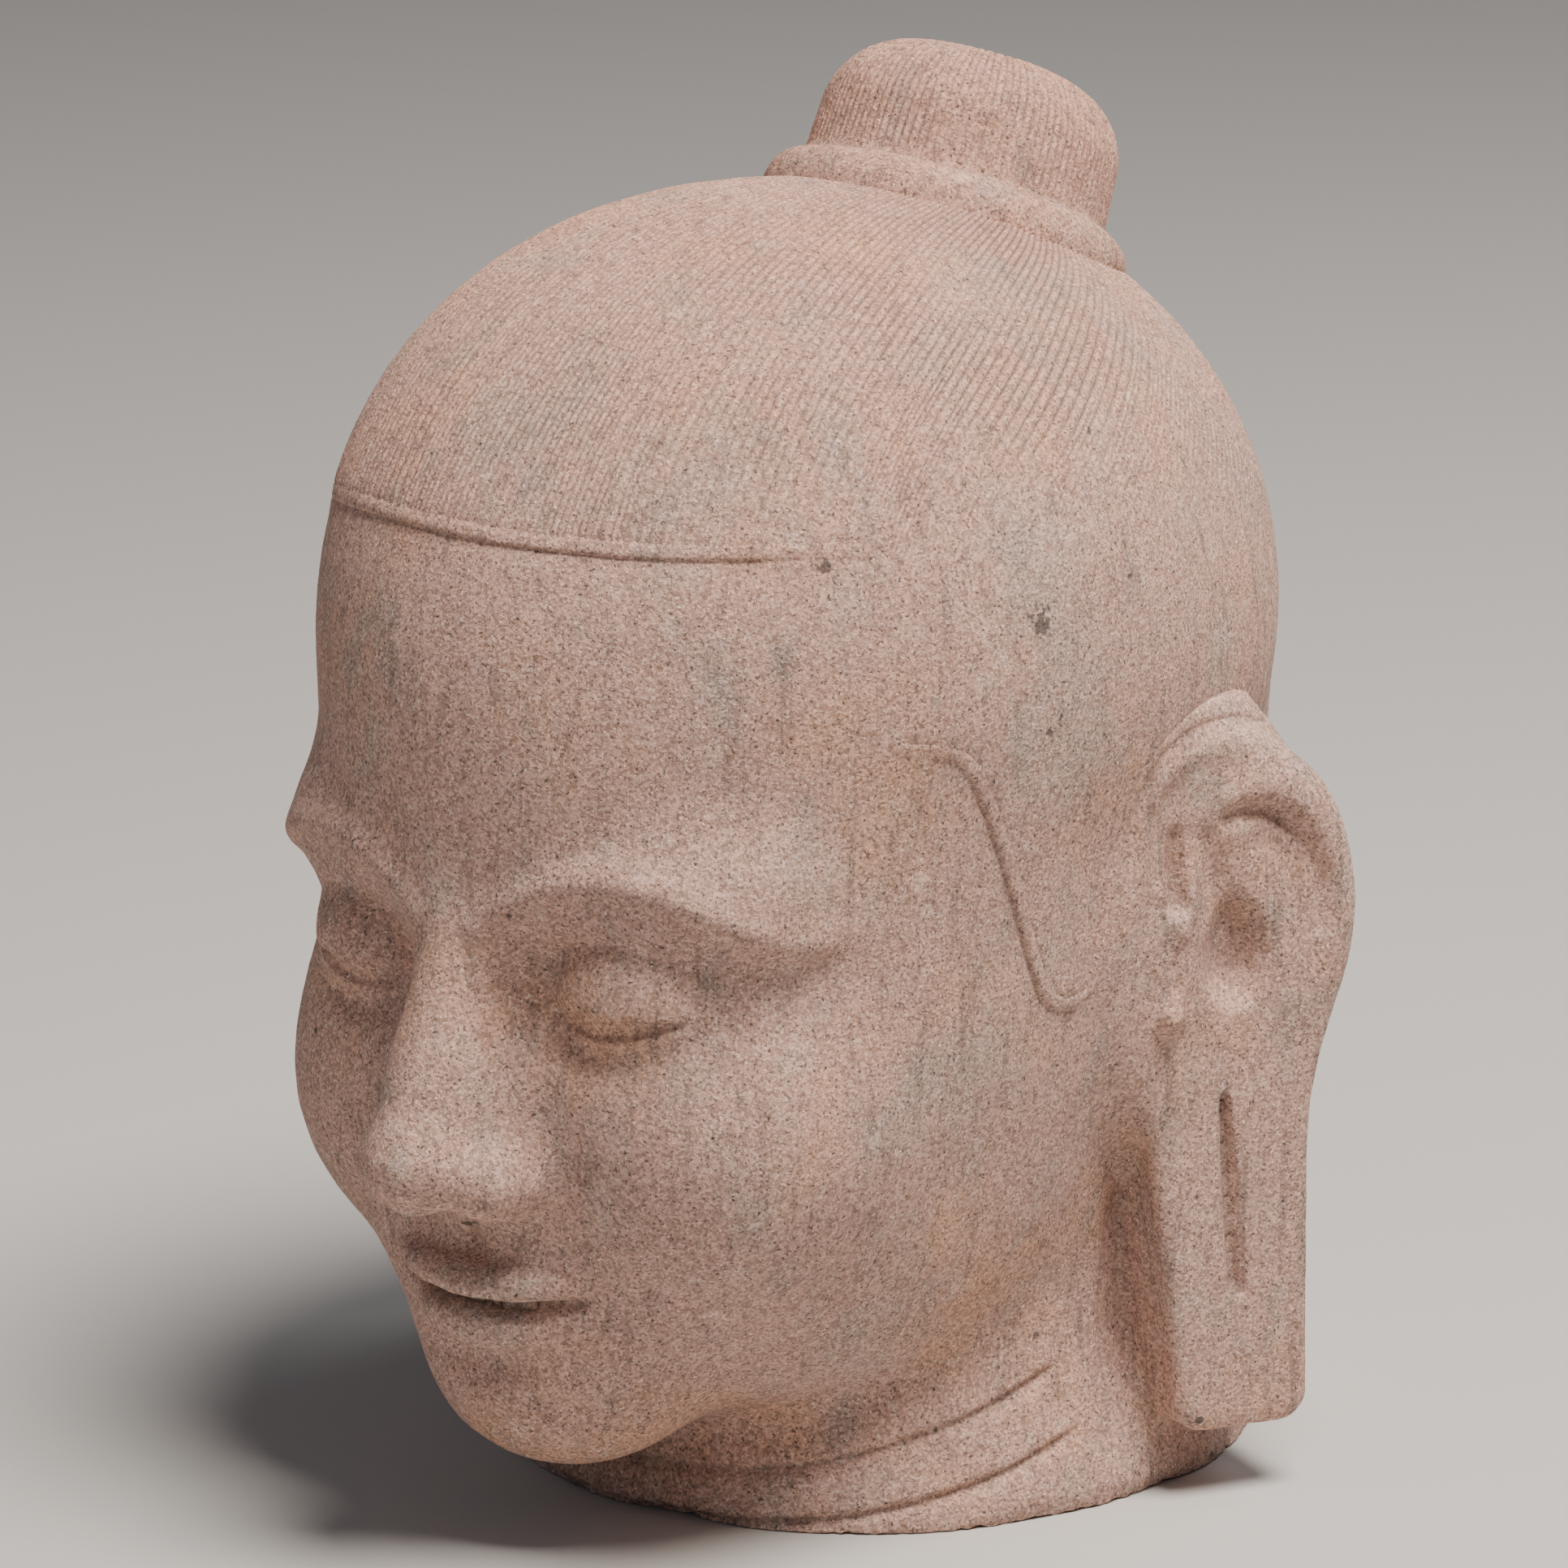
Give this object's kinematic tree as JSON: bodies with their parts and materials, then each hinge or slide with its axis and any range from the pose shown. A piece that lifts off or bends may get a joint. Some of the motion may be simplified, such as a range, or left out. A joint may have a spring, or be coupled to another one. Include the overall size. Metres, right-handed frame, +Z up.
{
  "type": "stone portrait head",
  "caption": "Carved sandstone head with combed hair, a topknot on a plain collar, long slit ear lobes and a short neck cut flat below.",
  "frame": {"origin": "middle of the neck's flat underside, on the head's plane of symmetry", "axes": "+Z up towards the topknot, -Y the way the face looks, +X towards the statue's left ear"},
  "size_m": [0.2847, 0.3322, 0.4022],
  "materials": {
    "sandstone": "matte"
  },
  "bodies": {
    "root": {"stone_head": "sandstone"}
  },
  "joints": []
}
